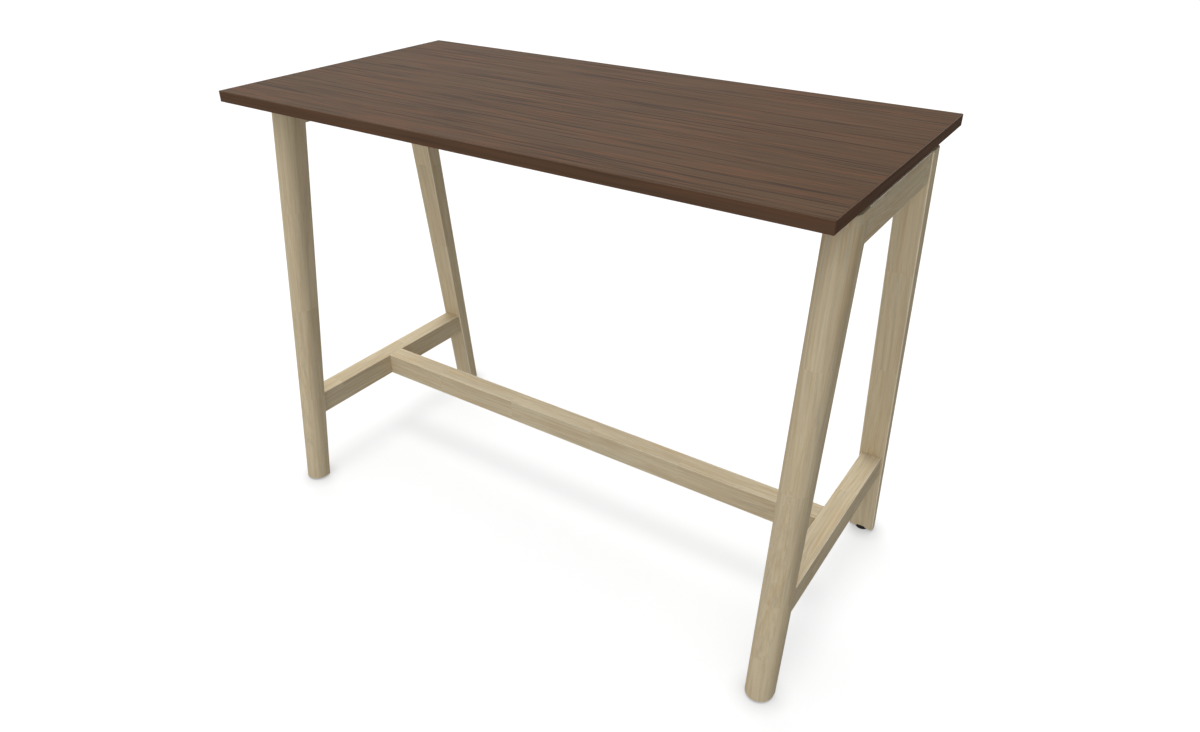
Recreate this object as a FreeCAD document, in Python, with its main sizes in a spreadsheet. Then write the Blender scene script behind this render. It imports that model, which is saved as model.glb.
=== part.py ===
import FreeCAD, Part
import os
import Sketcher

# High table: a laminate top that floats above two splayed trestles of tapered D-section legs,
# joined low down by a foot rail and under the top by two steel beams. Millimetres, +Z up,
# X along the table, origin on the floor under the middle of the top.

doc = FreeCAD.newDocument("high_table")
vector = FreeCAD.Vector

# Driving dimensions
driving = {
    # tabletop
    "table_width": 1400,
    "table_depth": 700,
    "table_height": 1050,
    "core_thickness": 22,
    "laminate_thickness": 0.8,
    "band_thickness": 2,
    "band_radius": 1,
    "top_gap": 10,
    # legs: the flat inner faces lean, so their gap is given at the floor end and at the top end
    "end_overhang": 2.5,
    "foot_lift": 5,
    "leg_width": 60,
    "leg_depth_bottom": 44,
    "leg_depth_top": 63.5,
    "leg_gap_bottom": 598,
    "leg_gap_top": 351,
    "leg_edge_radius": 2,
    # crossbars of the trestles and the foot rail between them
    "topbar_width": 54,
    "topbar_depth": 65,
    "footbar_width": 48,
    "footbar_depth": 58,
    "footbar_top": 250,
    "rail_width": 48,
    "rail_depth": 58,
    "bar_edge_radius": 1.5,
    # dowels
    "topbar_dowel_diameter": 12,
    "topbar_dowel_length": 80,
    "topbar_dowel_spacing": 34,
    "footbar_dowel_diameter": 12,
    "footbar_dowel_length": 60,
    "footbar_dowel_spacing": 30,
    "rail_dowel_diameter": 10,
    "rail_dowel_length": 60,
    "rail_dowel_spacing": 28,
    "dowel_end_room": 1,
    # cam locks and connecting bolts at the ends of the foot rail
    "cam_diameter": 20,
    "cam_height": 34,
    "cam_setback": 38,
    "cam_key_width": 3,
    "cam_key_depth": 4,
    "rail_bolt_diameter": 8,
    "rail_bolt_bite": 26,
    "rail_bolt_tip": 5,
    "rail_bolt_rise": 24,
    # steel beams under the top
    "beam_spacing": 230,
    "beam_width": 50,
    "beam_height": 30,
    "beam_wall": 2,
    "beam_corner_radius": 3,
    "plate_thickness": 5,
    "plate_height": 60,
    "beam_bolt_diameter": 8,
    "beam_bolt_length": 25,
    "beam_bolt_head_diameter": 13,
    "beam_bolt_head_height": 8,
    "beam_bolt_spacing": 28,
    "beam_bolt_drop": 44,
    "beam_insert_diameter": 12,
    "beam_insert_length": 22,
    "key_flats": 6,
    "key_depth": 4,
    # screws that hold the top to the beams
    "top_screw_setback": 120.5,
    "top_screw_diameter": 6,
    "top_screw_bite": 12,
    "top_screw_head_diameter": 12,
    "top_screw_head_height": 4,
    "top_insert_diameter": 10,
    "top_insert_length": 14,
    # levelling feet
    "pad_diameter": 23,
    "pad_gap": 0.5,
    "pad_floor": 1.4,
    "pad_edge_chamfer": 0.8,
    "flange_diameter": 12,
    "flange_thickness": 1.6,
    "stem_diameter": 8,
    "stem_reach": 32,
    "stem_room": 2,
    "foot_insert_diameter": 14,
    "foot_insert_length": 22,
    # fits
    "fixed_clearance": 0.05,
    "running_clearance": 0.05,
    "screw_clearance": 0.4,
}

# Places worked out from the driving dimensions
derived = {
    "top_thickness": "dims.core_thickness + 2 * dims.laminate_thickness",
    "underside": "dims.table_height - dims.core_thickness - 2 * dims.laminate_thickness",
    "trestle_top": "dims.table_height - dims.core_thickness - 2 * dims.laminate_thickness - dims.top_gap",
    "trestle_x": "(dims.table_width - dims.leg_width) / 2 - dims.end_overhang",
    "panel_width": "dims.table_width - 2 * dims.band_thickness",
    "panel_depth": "dims.table_depth - 2 * dims.band_thickness",
    "foot_y": "(dims.leg_gap_bottom - dims.leg_width) / 2 + dims.leg_depth_bottom",
    "rail_end": "(dims.table_width - dims.leg_width - dims.footbar_width) / 2 - dims.end_overhang",
    "beam_end": "(dims.table_width - dims.leg_width - dims.topbar_width) / 2 - dims.end_overhang",
    "rail_bottom": "dims.footbar_top - dims.rail_depth",
    "pad_height": "dims.foot_lift - dims.pad_gap",
}


def fill_sheet(name, cells, prefix):
    sheet = doc.addObject("Spreadsheet::Sheet", name)
    for row, (alias, value) in enumerate(cells.items(), start=1):
        sheet.set(f"A{row}", alias)
        sheet.set(f"B{row}", f"{prefix}{value}")
        sheet.setAlias(f"B{row}", alias)
    doc.recompute()
    return sheet


dims = fill_sheet("dims", driving, "")
places = fill_sheet("places", derived, "=")
half_turn = FreeCAD.Rotation(vector(0, 0, 1), 180)
no_turn = FreeCAD.Rotation()
along = {
    "x": FreeCAD.Rotation(vector(0, 1, 0), 90),
    "y": FreeCAD.Rotation(vector(1, 0, 0), -90),
    "z": no_turn,
}
sides = {"left": -1, "right": 1}
ends = {"front": -1, "rear": 1}
touching = 1e-4
screw_row_shares = (-1, -1 / 3, 1 / 3, 1)
pieces = []


def size(name):
    sheet = dims if name in driving else places
    return float(sheet.get(name))


def piece(label, shape_object):
    shape_object.Label = label
    pieces.append(shape_object)
    return shape_object


def move(part, x="0", y="0", z="0", turn=no_turn):
    part.Placement = FreeCAD.Placement(vector(), turn)
    for letter, place in zip("xyz", (x, y, z)):
        part.setExpression(f"Placement.Base.{letter}", place)
    return part


def flat_face(height):
    # distance of the legs' flat faces from the middle plane, at a height given as an expression
    spread = "(dims.leg_gap_bottom - dims.leg_gap_top)"
    share = f"((places.trestle_top - ({height})) / (places.trestle_top - dims.foot_lift))"
    return f"(dims.leg_gap_top + {spread} * {share}) / 2"


# Primitives and groups, all bound to the sheet


def rod(name, axis, radius, length, x="0", y="0", z="0"):
    # cylinder along an axis, centred on a point
    part = doc.addObject("Part::Cylinder", name)
    part.setExpression("Radius", radius)
    part.setExpression("Height", length)
    centre = {"x": x, "y": y, "z": z}
    centre[axis] = f"{centre[axis]} - ({length}) / 2"
    return move(part, turn=along[axis], **centre)


def block(name, length, depth, height, x="0", y="0", z="0"):
    # box centred on a point
    part = doc.addObject("Part::Box", name)
    part.setExpression("Length", length)
    part.setExpression("Width", depth)
    part.setExpression("Height", height)
    return move(part, f"{x} - ({length}) / 2", f"{y} - ({depth}) / 2", f"{z} - ({height}) / 2")


def group(name, members):
    part = doc.addObject("Part::Compound", name)
    part.Links = members
    return part


def fused(name, members):
    part = doc.addObject("Part::MultiFuse", name)
    part.Shapes = members
    return part


def cut(name, base, tools):
    part = doc.addObject("Part::Cut", name)
    part.Base = base
    part.Tool = tools[0] if len(tools) == 1 else fused(f"{name}_tools", tools)
    return part


def copies(name, master, spots):
    # linked copies of one master piece; a spot is its turn and its x, y and z
    links = []
    for turn, x, y, z in spots:
        link = doc.addObject("App::Link", f"{name}_copy")
        link.LinkedObject = master
        links.append(move(link, x, y, z, turn))
    return group(name, links)


# Bodies made from constrained sketches


def sketch_on(body, role, name, offset=None):
    sketch = body.newObject("Sketcher::SketchObject", name)
    plane = next(feature for feature in body.Origin.OriginFeatures if feature.Role == role)
    sketch.AttachmentSupport = (plane, "")
    sketch.MapMode = "FlatFace"
    if offset:
        sketch.setExpression("AttachmentOffset.Base.z", offset)
    return sketch


def bind(sketch, kind, where, value, expression):
    number = sketch.addConstraint(Sketcher.Constraint(kind, *where, value))
    sketch.setExpression(f"Constraints[{number}]", expression)


def closed_lines(sketch, corners):
    first = sketch.GeometryCount
    count = len(corners)
    for index, corner in enumerate(corners):
        sketch.addGeometry(Part.LineSegment(corner, corners[(index + 1) % count]))
    for index in range(count):
        follower = first + (index + 1) % count
        sketch.addConstraint(Sketcher.Constraint("Coincident", first + index, 2, follower, 1))
    return first


def centred_rectangle(sketch, width, height, width_expression, height_expression):
    across = width / 2
    up = height / 2
    corners = [vector(-across, -up), vector(across, -up), vector(across, up), vector(-across, up)]
    base = closed_lines(sketch, corners)
    right, top, left = base + 1, base + 2, base + 3
    for kind, line in (("Horizontal", base), ("Vertical", right), ("Horizontal", top), ("Vertical", left)):
        sketch.addConstraint(Sketcher.Constraint(kind, line))
    sketch.addConstraint(Sketcher.Constraint("Symmetric", base, 1, top, 1, -1, 1))
    bind(sketch, "DistanceX", (base, 1, base, 2), width, width_expression)
    bind(sketch, "DistanceY", (right, 1, right, 2), height, height_expression)


def padded(body, sketch, length):
    pad = body.newObject("PartDesign::Pad", "pad")
    pad.Profile = sketch
    pad.SideType = "Symmetric"
    pad.setExpression("Length", length)
    doc.recompute()
    return pad


def eased(body, base, wanted, kind, measure, value):
    # fillet or chamfer on the edges that pass the test
    dressing = body.newObject(f"PartDesign::{kind}", kind.lower())
    edges = enumerate(base.Shape.Edges, start=1)
    dressing.Base = (base, [f"Edge{number}" for number, edge in edges if wanted(edge)])
    dressing.setExpression(measure, value)
    body.Tip = dressing
    doc.recompute()
    return dressing


def rounded(body, base, wanted, radius):
    return eased(body, base, wanted, "Fillet", "Radius", radius)


def runs_along(direction):
    def wanted(edge):
        run = edge.Vertexes[-1].Point - edge.Vertexes[0].Point
        return run.Length > touching and run.cross(direction).Length < touching * run.Length
    return wanted


# Bores and pegs share their places: the pegs are the pieces, the bores cut what they sit in


def pegs(label, diameter, length, spots):
    radius = f"dims.{diameter} / 2"
    snug = f"dims.{diameter} / 2 + dims.fixed_clearance"
    reach = f"dims.{length} + 2 * dims.dowel_end_room"
    dowels = [rod(f"{label}_peg", axis, radius, f"dims.{length}", *spot) for axis, *spot in spots]
    bores = [rod(f"{label}_bore", axis, snug, reach, *spot) for axis, *spot in spots]
    piece(label, group(label, dowels))
    return bores


def crossbar_dowels(bar, middle):
    spots = []
    for side in sides.values():
        for end in ends.values():
            for step in (-1, 1):
                height = f"{middle} + {step} * dims.{bar}_dowel_spacing / 2"
                spots.append(("y", f"{side} * places.trestle_x", f"{end} * {flat_face(height)}", height))
    return pegs(f"{bar}_dowels", f"{bar}_dowel_diameter", f"{bar}_dowel_length", spots)


topbar_bores = crossbar_dowels("topbar", "places.trestle_top - dims.topbar_depth / 2")
footbar_bores = crossbar_dowels("footbar", "dims.footbar_top - dims.footbar_depth / 2")
rail_middle = "dims.footbar_top - dims.rail_depth / 2"
rail_spots = [
    ("x", f"{side} * places.rail_end", f"{step} * dims.rail_dowel_spacing / 2", rail_middle)
    for side in sides.values()
    for step in (-1, 1)
]
rail_bores = pegs("rail_dowels", "rail_dowel_diameter", "rail_dowel_length", rail_spots)


# Levelling feet: a threaded insert in each leg, a stem with a flange, and a pad that the flange turns in


def vertical_rod(name, radius, bottom, top, x="0", y="0"):
    return rod(name, "z", radius, f"{top} - ({bottom})", x, y, f"(({top}) + ({bottom})) / 2")


def foot_places():
    for end_name, end in ends.items():
        for side_name, side in sides.items():
            yield f"{end_name}_{side_name}", f"{side} * places.trestle_x", f"{end} * places.foot_y"


def upper_rim(edge):
    return edge.Closed and edge.CenterOfMass.z > touching


stem_radius = "dims.stem_diameter / 2"
stem_bore = "dims.stem_diameter / 2 + dims.running_clearance"
flange_top = "dims.pad_floor + dims.flange_thickness"
insert_top = "dims.foot_lift + dims.foot_insert_length"
stem_top = "dims.foot_lift + dims.stem_reach"
foot_bores = {}
foot_inserts = []
for name, x, y in foot_places():
    insert_radius = "dims.foot_insert_diameter / 2"
    snug = f"{insert_radius} + dims.fixed_clearance"
    foot_bores[name] = [
        vertical_rod("insert_bore", snug, "0", insert_top, x, y),
        vertical_rod("stem_bore", stem_bore, "0", f"{stem_top} + dims.stem_room", x, y),
    ]
    sleeve = vertical_rod("insert_sleeve", insert_radius, "dims.foot_lift", insert_top, x, y)
    thread = vertical_rod("insert_thread", stem_bore, "0", f"{insert_top} + dims.foot_lift", x, y)
    foot_inserts.append(cut("insert", sleeve, [thread]))

    shank = vertical_rod("stem_shank", stem_radius, "dims.pad_floor", stem_top, x, y)
    flange = vertical_rod("stem_flange", "dims.flange_diameter / 2", "dims.pad_floor", flange_top, x, y)
    piece(f"foot_stem_{name}", fused("stem", [shank, flange]))

    pad_body = doc.addObject("PartDesign::Body", "pad_body")
    outline = sketch_on(pad_body, "XY_Plane", "pad_outline", "places.pad_height / 2")
    outline.addGeometry(Part.Circle(vector(), vector(0, 0, 1), size("pad_diameter") / 2))
    outline.addConstraint(Sketcher.Constraint("Coincident", 0, 3, -1, 1))
    bind(outline, "Diameter", (0,), size("pad_diameter"), "dims.pad_diameter")
    disc = padded(pad_body, outline, "places.pad_height")
    eased(pad_body, disc, upper_rim, "Chamfer", "Size", "dims.pad_edge_chamfer")
    move(pad_body, x, y)
    socket_radius = "dims.flange_diameter / 2 + dims.running_clearance"
    socket_top = f"{flange_top} + dims.running_clearance"
    socket = vertical_rod("pad_socket", socket_radius, "dims.pad_floor", socket_top, x, y)
    throat = vertical_rod("pad_throat", stem_bore, "dims.pad_floor", "dims.foot_lift", x, y)
    piece(f"foot_pad_{name}", cut("pad", pad_body, [socket, throat]))
piece("foot_inserts", group("foot_inserts", foot_inserts))


# Legs: a loft between the D sections at the floor end and the top end, one body per leg


def arc_between(sketch, centre, radius, first, last):
    circle = Part.Circle(centre, vector(0, 0, 1), radius)
    return sketch.addGeometry(Part.ArcOfCircle(circle, circle.parameter(first), circle.parameter(last)))


def d_section(body, name, height, gap, depth):
    # flat inner side with small rounded corners, straight flanks, and a half round outside
    sketch = sketch_on(body, "XY_Plane", name, height)
    across = size("leg_width") / 2
    corner = size("leg_edge_radius")
    flat = size(gap) / 2
    spring = flat + size(depth) - across
    shelf = across - corner
    eased = flat + corner
    inner = sketch.addGeometry(Part.LineSegment(vector(-shelf, flat), vector(shelf, flat)))
    near = arc_between(sketch, vector(shelf, eased), corner, vector(shelf, flat), vector(across, eased))
    right = sketch.addGeometry(Part.LineSegment(vector(across, eased), vector(across, spring)))
    front = arc_between(sketch, vector(0, spring), across, vector(across, spring), vector(-across, spring))
    left = sketch.addGeometry(Part.LineSegment(vector(-across, spring), vector(-across, eased)))
    far = arc_between(sketch, vector(-shelf, eased), corner, vector(-across, eased), vector(-shelf, flat))
    outline = [inner, near, right, front, left, far]
    for line, follower in zip(outline, outline[1:] + outline[:1]):
        sketch.addConstraint(Sketcher.Constraint("Tangent", line, 2, follower, 1))
    sketch.addConstraint(Sketcher.Constraint("Vertical", right))
    sketch.addConstraint(Sketcher.Constraint("Equal", near, far))
    sketch.addConstraint(Sketcher.Constraint("Symmetric", inner, 1, inner, 2, -2))
    bind(sketch, "Radius", (near,), corner, "dims.leg_edge_radius")
    bind(sketch, "Radius", (front,), across, "dims.leg_width / 2")
    bind(sketch, "DistanceY", (-1, 1, inner, 1), flat, f"dims.{gap} / 2")
    bind(sketch, "DistanceY", (inner, 1, front, 3), spring - flat, f"dims.{depth} - dims.leg_width / 2")
    return sketch


def leg_blank(side, end):
    body = doc.addObject("PartDesign::Body", "leg_blank")
    low = d_section(body, "foot_section", "dims.foot_lift", "leg_gap_bottom", "leg_depth_bottom")
    high = d_section(body, "top_section", "places.trestle_top", "leg_gap_top", "leg_depth_top")
    loft = body.newObject("PartDesign::AdditiveLoft", "taper")
    loft.Profile = low
    loft.Sections = [high]
    loft.Ruled = True
    return move(body, f"{side} * places.trestle_x", turn=no_turn if end > 0 else half_turn)


for end_name, end in ends.items():
    for side_name, side in sides.items():
        name = f"{end_name}_{side_name}"
        blank = leg_blank(side, end)
        tools = topbar_bores + footbar_bores + foot_bores[name]
        piece(f"leg_{name}", cut("leg", blank, tools))


# Crossbars: their ends follow the lean of the legs' flat faces


def crossbar_blank(bar, side, top):
    body = doc.addObject("PartDesign::Body", "crossbar_blank")
    sketch = sketch_on(body, "YZ_Plane", "crossbar_side")
    depth = size(f"{bar}_depth")
    reach = size("leg_gap_top") / 2
    low = size("leg_gap_bottom") / 2
    corners = [vector(-low, -depth), vector(low, -depth), vector(reach, 0), vector(-reach, 0)]
    base = closed_lines(sketch, corners)
    crown = base + 2
    sketch.addConstraint(Sketcher.Constraint("Symmetric", base, 1, base, 2, -2))
    sketch.addConstraint(Sketcher.Constraint("Symmetric", crown, 1, crown, 2, -2))
    sketch.addConstraint(Sketcher.Constraint("PointOnObject", crown, 1, -1))
    bind(sketch, "DistanceX", (base, 1, base, 2), 2 * low, f"2 * {flat_face(f'{top} - dims.{bar}_depth')}")
    bind(sketch, "DistanceX", (crown, 2, crown, 1), 2 * reach, f"2 * {flat_face(top)}")
    bind(sketch, "DistanceY", (base, 1, crown, 2), depth, f"dims.{bar}_depth")
    pad = padded(body, sketch, f"dims.{bar}_width")
    rounded(body, pad, runs_along(vector(0, 1, 0)), "dims.bar_edge_radius")
    return move(body, f"{side} * places.trestle_x", z=top)


# Beam fasteners: bolts into inserts in the top crossbars


beam_bolt_z = "places.underside - dims.beam_bolt_drop"
bolt_rows = [
    f"{end} * dims.beam_spacing / 2 + {step} * dims.beam_bolt_spacing / 2"
    for end in ends.values()
    for step in (-1, 1)
]


def toward_beam(side):
    # turns a piece that points along +X so that it points into the crossbar of its side
    return no_turn if side > 0 else half_turn


bolt_spots = [
    (toward_beam(side), f"{side} * places.beam_end", row, beam_bolt_z)
    for side in sides.values()
    for row in bolt_rows
]
bolt_radius = "dims.beam_bolt_diameter / 2"
head_radius = "dims.beam_bolt_head_diameter / 2"
head_middle = "-dims.plate_thickness - dims.beam_bolt_head_height / 2"
shank_middle = "dims.beam_bolt_length / 2 - dims.plate_thickness"
bolt_head = rod("beam_bolt_head", "x", head_radius, "dims.beam_bolt_head_height", head_middle)
bolt_shank = rod("beam_bolt_shank", "x", bolt_radius, "dims.beam_bolt_length", shank_middle)
bolt_solid = fused("beam_bolt_solid", [bolt_head, bolt_shank])
key = doc.addObject("Part::Prism", "beam_bolt_key")
key.Polygon = 6
key.setExpression("Circumradius", "dims.key_flats / sqrt(3)")
key.setExpression("Height", "dims.key_depth")
move(key, "-dims.plate_thickness - dims.beam_bolt_head_height", turn=along["x"])
beam_bolt = cut("beam_bolt", bolt_solid, [key])
piece("beam_bolts", copies("beam_bolts", beam_bolt, bolt_spots))

insert_length = "dims.beam_insert_length"
insert_radius = "dims.beam_insert_diameter / 2"
tapped = f"{bolt_radius} + dims.fixed_clearance"
sleeve = rod("beam_insert_sleeve", "x", insert_radius, insert_length, f"{insert_length} / 2")
thread = rod("beam_insert_thread", "x", tapped, f"3 * {insert_length}")
beam_insert = cut("beam_insert", sleeve, [thread])
piece("beam_inserts", copies("beam_inserts", beam_insert, bolt_spots))
seat = f"{insert_radius} + dims.fixed_clearance"
seat_length = f"2 * ({insert_length} + dims.dowel_end_room)"
insert_bores = [rod("beam_insert_bore", "x", seat, seat_length, *spot[1:]) for spot in bolt_spots]

for side_name, side in sides.items():
    blank = crossbar_blank("topbar", side, "places.trestle_top")
    piece(f"top_crossbar_{side_name}", cut("top_crossbar", blank, topbar_bores + insert_bores))


# Foot rail with its cam locks and connecting bolts, hidden in bores from below and from the ends


rail_bolt_z = "places.rail_bottom + dims.rail_bolt_rise"
rail_bolt_length = "dims.rail_bolt_bite + dims.cam_setback + dims.rail_bolt_tip"
rail_bolt_shift = "(dims.rail_bolt_bite - dims.cam_setback - dims.rail_bolt_tip) / 2"
rail_bolts = []
rail_bolt_bores = []
cams = []
cam_bores = []
for side in sides.values():
    middle = f"{side} * (places.rail_end + {rail_bolt_shift})"
    snug = "dims.rail_bolt_diameter / 2 + dims.fixed_clearance"
    room = f"{rail_bolt_length} + 2 * dims.dowel_end_room"
    radius = "dims.rail_bolt_diameter / 2"
    rail_bolts.append(rod("rail_bolt", "x", radius, rail_bolt_length, middle, z=rail_bolt_z))
    rail_bolt_bores.append(rod("rail_bolt_bore", "x", snug, room, middle, z=rail_bolt_z))
    cam_x = f"{side} * (places.rail_end - dims.cam_setback)"
    cam_top = "places.rail_bottom + dims.cam_height"
    cam_radius = "dims.cam_diameter / 2"
    barrel = vertical_rod("cam_barrel", cam_radius, "places.rail_bottom", cam_top, cam_x)
    slot_length = "2 * dims.cam_diameter"
    slot_height = "2 * dims.cam_key_depth"
    slot = block("cam_slot", slot_length, "dims.cam_key_width", slot_height, cam_x, z="places.rail_bottom")
    cams.append(cut("cam", barrel, [slot, rail_bolt_bores[-1]]))
    loose = f"{cam_radius} + dims.fixed_clearance"
    cam_mouth = "places.rail_bottom - dims.dowel_end_room"
    cam_roof = f"{cam_top} + dims.dowel_end_room"
    cam_bores.append(vertical_rod("cam_bore", loose, cam_mouth, cam_roof, cam_x))
piece("rail_connecting_bolts", group("rail_connecting_bolts", rail_bolts))
piece("rail_cam_locks", group("rail_cam_locks", cams))

footbar_tools = footbar_bores + rail_bores + rail_bolt_bores
for side_name, side in sides.items():
    blank = crossbar_blank("footbar", side, "dims.footbar_top")
    piece(f"foot_crossbar_{side_name}", cut("foot_crossbar", blank, footbar_tools))

rail_body = doc.addObject("PartDesign::Body", "rail_body")
rail_section = sketch_on(rail_body, "YZ_Plane", "rail_section")
wide, high = size("rail_width"), size("rail_depth")
centred_rectangle(rail_section, wide, high, "dims.rail_width", "dims.rail_depth")
rail_bar = padded(rail_body, rail_section, "2 * places.rail_end")
rounded(rail_body, rail_bar, runs_along(vector(1, 0, 0)), "dims.bar_edge_radius")
move(rail_body, z=rail_middle)
piece("foot_rail", cut("foot_rail", rail_body, rail_bores + rail_bolt_bores + cam_bores))


# Tabletop: core with laminate on both faces, edge bands round it, and the inserts that its screws turn into


screw_row_end = "(places.beam_end - dims.top_screw_setback)"
screw_spots = [
    (no_turn, f"{share} * {screw_row_end}", f"{end} * dims.beam_spacing / 2", "places.underside")
    for share in screw_row_shares
    for end in ends.values()
]
screw_radius = "dims.top_screw_diameter / 2"
screw_head_top = "-dims.beam_height"
screw_head_low = "-dims.beam_height - dims.top_screw_head_height"
screw_shank = vertical_rod("top_screw_shank", screw_radius, screw_head_top, "dims.top_screw_bite")
head_radius = "dims.top_screw_head_diameter / 2"
screw_head = vertical_rod("top_screw_head", head_radius, screw_head_low, screw_head_top)
top_screw = fused("top_screw", [screw_shank, screw_head])
piece("top_screws", copies("top_screws", top_screw, screw_spots))

insert_depth = "dims.top_insert_length"
sleeve = vertical_rod("top_insert_sleeve", "dims.top_insert_diameter / 2", "0", insert_depth)
tapped = f"{screw_radius} + dims.fixed_clearance"
thread = vertical_rod("top_insert_thread", tapped, f"-{insert_depth}", f"2 * {insert_depth}")
top_insert = cut("top_insert", sleeve, [thread])
piece("top_inserts", copies("top_inserts", top_insert, screw_spots))
seat = "dims.top_insert_diameter / 2 + dims.fixed_clearance"
top_bores = [rod("top_insert_bore", "z", seat, f"2 * {insert_depth}", *spot[1:]) for spot in screw_spots]


def panel(name, thickness, bottom):
    middle = f"{bottom} + {thickness} / 2"
    return block(name, "places.panel_width", "places.panel_depth", thickness, z=middle)


backing = panel("backing_sheet", "dims.laminate_thickness", "places.underside")
core = panel("core_board", "dims.core_thickness", "places.underside + dims.laminate_thickness")
laminate_bottom = "dims.table_height - dims.laminate_thickness"
piece("top_backing", cut("top_backing", backing, top_bores))
piece("top_core", cut("top_core", core, top_bores))
piece("top_laminate", panel("top_laminate", "dims.laminate_thickness", laminate_bottom))


def edge_band(label, length, offset, turn, open_ends):
    # strip whose outer face looks along -Y before it is turned to its side of the top
    body = doc.addObject("PartDesign::Body", "band_body")
    sketch = sketch_on(body, "YZ_Plane", "band_section")
    thick, high = size("band_thickness"), size("top_thickness")
    centred_rectangle(sketch, thick, high, "dims.band_thickness", "places.top_thickness")
    strip = padded(body, sketch, length)
    box = strip.Shape.BoundBox

    def showing(edge):
        middle = edge.CenterOfMass
        outer = middle.y < box.YMin + touching
        at_end = abs(middle.x) > box.XMax - touching
        level = abs(middle.z) > box.ZMax - touching
        return (outer and level) or (open_ends and at_end and (outer or level))

    rounded(body, strip, showing, "dims.band_radius")
    x, y = offset
    return piece(label, move(body, x, y, "places.underside + places.top_thickness / 2", turn))


side_turn = {side: FreeCAD.Rotation(vector(0, 0, 1), 90 * side) for side in sides.values()}
end_turn = {-1: no_turn, 1: half_turn}
for end_name, end in ends.items():
    line = f"{end} * (dims.table_depth - dims.band_thickness) / 2"
    edge_band(f"edge_band_{end_name}", "dims.table_width", ("0", line), end_turn[end], True)
for side_name, side in sides.items():
    line = f"{side} * (dims.table_width - dims.band_thickness) / 2"
    edge_band(f"edge_band_{side_name}", "places.panel_depth", (line, "0"), side_turn[side], False)


# Steel beams: rectangular tube with a welded plate at each end, bolted to the top crossbars


hole_radius = f"{bolt_radius} + dims.screw_clearance"
hole_length = "4 * dims.plate_thickness"
plate_holes = [rod("plate_hole", "x", hole_radius, hole_length, *spot[1:]) for spot in bolt_spots]
plates = []
for side in sides.values():
    for end in ends.values():
        plate_x = f"{side} * (places.beam_end - dims.plate_thickness / 2)"
        plate_y = f"{end} * dims.beam_spacing / 2"
        plate_z = "places.underside - dims.plate_height / 2"
        plate_size = ("dims.plate_thickness", "dims.beam_width", "dims.plate_height")
        plates.append(block("plate", *plate_size, plate_x, plate_y, plate_z))
piece("beam_end_plates", cut("beam_end_plates", group("plates", plates), plate_holes))

beam_hole = f"{screw_radius} + dims.screw_clearance"
beam_holes = [rod("beam_hole", "z", beam_hole, "4 * dims.beam_height", *spot[1:]) for spot in screw_spots]
for end_name, end in ends.items():
    body = doc.addObject("PartDesign::Body", "beam_body")
    sketch = sketch_on(body, "YZ_Plane", "tube_section")
    wide, high, wall = size("beam_width"), size("beam_height"), size("beam_wall")
    centred_rectangle(sketch, wide, high, "dims.beam_width", "dims.beam_height")
    inner_wide, inner_high = "dims.beam_width - 2 * dims.beam_wall", "dims.beam_height - 2 * dims.beam_wall"
    centred_rectangle(sketch, wide - 2 * wall, high - 2 * wall, inner_wide, inner_high)
    tube = padded(body, sketch, "2 * (places.beam_end - dims.plate_thickness)")
    lengthwise = runs_along(vector(1, 0, 0))
    outside = tube.Shape.BoundBox.YMax - touching
    rounded(
        body,
        tube,
        lambda edge: lengthwise(edge) and abs(edge.CenterOfMass.y) > outside,
        "dims.beam_corner_radius",
    )
    move(body, y=f"{end} * dims.beam_spacing / 2", z="places.underside - dims.beam_height / 2")
    piece(f"support_beam_{end_name}", cut("support_beam", body, beam_holes))


# Check every object, then write one file per piece

doc.recompute()
failed = [item.Label for item in doc.Objects if "Invalid" in item.State or "Error" in item.State]
for part in pieces:
    if part.Shape.isNull() or not part.Shape.isValid() or not part.Shape.Solids:
        failed.append(part.Label)
if failed:
    raise RuntimeError(f"these objects failed: {failed}")

os.makedirs("parts", exist_ok=True)
for part in pieces:
    part.Shape.exportStep(f"parts/{part.Label}.step")
    print(part.Label, "solids", len(part.Shape.Solids), "volume", round(part.Shape.Volume))
print("pieces", len(pieces))
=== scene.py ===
import math
import bpy
import bmesh
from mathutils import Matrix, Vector


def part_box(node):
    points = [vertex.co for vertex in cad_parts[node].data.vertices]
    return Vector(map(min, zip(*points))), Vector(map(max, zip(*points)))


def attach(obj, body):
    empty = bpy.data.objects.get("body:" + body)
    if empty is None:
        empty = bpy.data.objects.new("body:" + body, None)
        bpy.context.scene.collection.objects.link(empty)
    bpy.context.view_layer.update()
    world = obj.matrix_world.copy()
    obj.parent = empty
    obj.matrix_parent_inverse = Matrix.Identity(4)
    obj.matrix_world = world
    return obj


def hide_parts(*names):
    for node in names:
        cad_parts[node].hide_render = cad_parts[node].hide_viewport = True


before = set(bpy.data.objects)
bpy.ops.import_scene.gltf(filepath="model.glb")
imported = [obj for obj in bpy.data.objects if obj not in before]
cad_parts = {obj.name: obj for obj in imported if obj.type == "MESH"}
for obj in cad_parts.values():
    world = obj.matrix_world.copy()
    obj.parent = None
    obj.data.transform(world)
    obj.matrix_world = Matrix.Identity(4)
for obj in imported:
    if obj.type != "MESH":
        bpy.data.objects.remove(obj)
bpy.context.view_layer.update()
scene = bpy.context.scene
scene.view_settings.view_transform = "Standard"
print("frame loaded,", len(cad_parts), "nodes")

mm = 0.001


# small helpers for node trees: a term is a number, a vector or another node's output
def plug(tree, socket, term):
    if isinstance(term, bpy.types.NodeSocket):
        tree.links.new(term, socket)
    else:
        socket.default_value = term


def put(tree, kind, inputs=None, **settings):
    node = tree.nodes.new(kind)
    for key, value in settings.items():
        setattr(node, key, value)
    for key, term in (inputs or {}).items():
        plug(tree, node.inputs[key], term)
    return node


def calc(tree, operation, *terms):
    node = put(tree, "ShaderNodeMath", operation=operation)
    for place, term in enumerate(terms):
        plug(tree, node.inputs[place], term)
    return node.outputs[0]


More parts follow.
